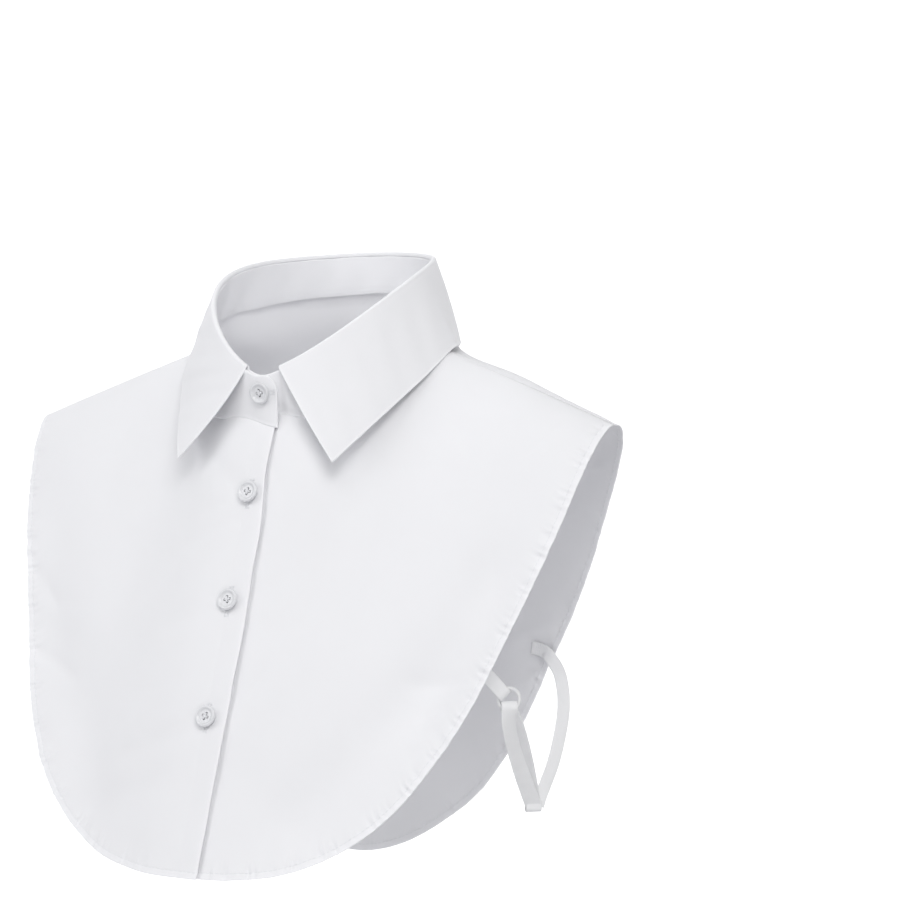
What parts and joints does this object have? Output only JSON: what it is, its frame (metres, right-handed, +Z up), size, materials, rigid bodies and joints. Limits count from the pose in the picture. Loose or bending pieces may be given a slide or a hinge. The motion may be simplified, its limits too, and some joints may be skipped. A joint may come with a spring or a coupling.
{
  "type": "detachable shirt collar",
  "caption": "Detachable shirt collar with turned-down pointed leaf, stand, buttoned bib fronts, rounded back and side straps with rings, in its worn shape.",
  "frame": {"origin": "on the garment's middle line, level with the two shoulder tips, inside the open neck where the wearer's neck and shoulders hold it up", "axes": "+Z up, the wearer faces -Y, +X towards the wearer's left"},
  "size_m": [0.3466, 0.222, 0.3267],
  "materials": {
    "shirting": "smooth white shirting in a close plain weave, matt",
    "button": "white pearly resin, polished",
    "ring": "white moulded plastic, polished",
    "tape": "white woven elastic tape, matt"
  },
  "bodies": {
    "root": {"back": "shirting", "front_left": "shirting", "front_right": "shirting", "collar_stand": "shirting", "collar_leaf": "shirting", "button_neck": "button", "button_1": "button", "button_2": "button", "button_3": "button", "strap_ring_left": "ring", "strap_ring_right": "ring", "strap_tab_left": "tape", "strap_tab_right": "tape", "strap_loop_left": "tape", "strap_loop_right": "tape", "strap_back_left": "tape", "strap_back_right": "tape"}
  },
  "joints": []
}
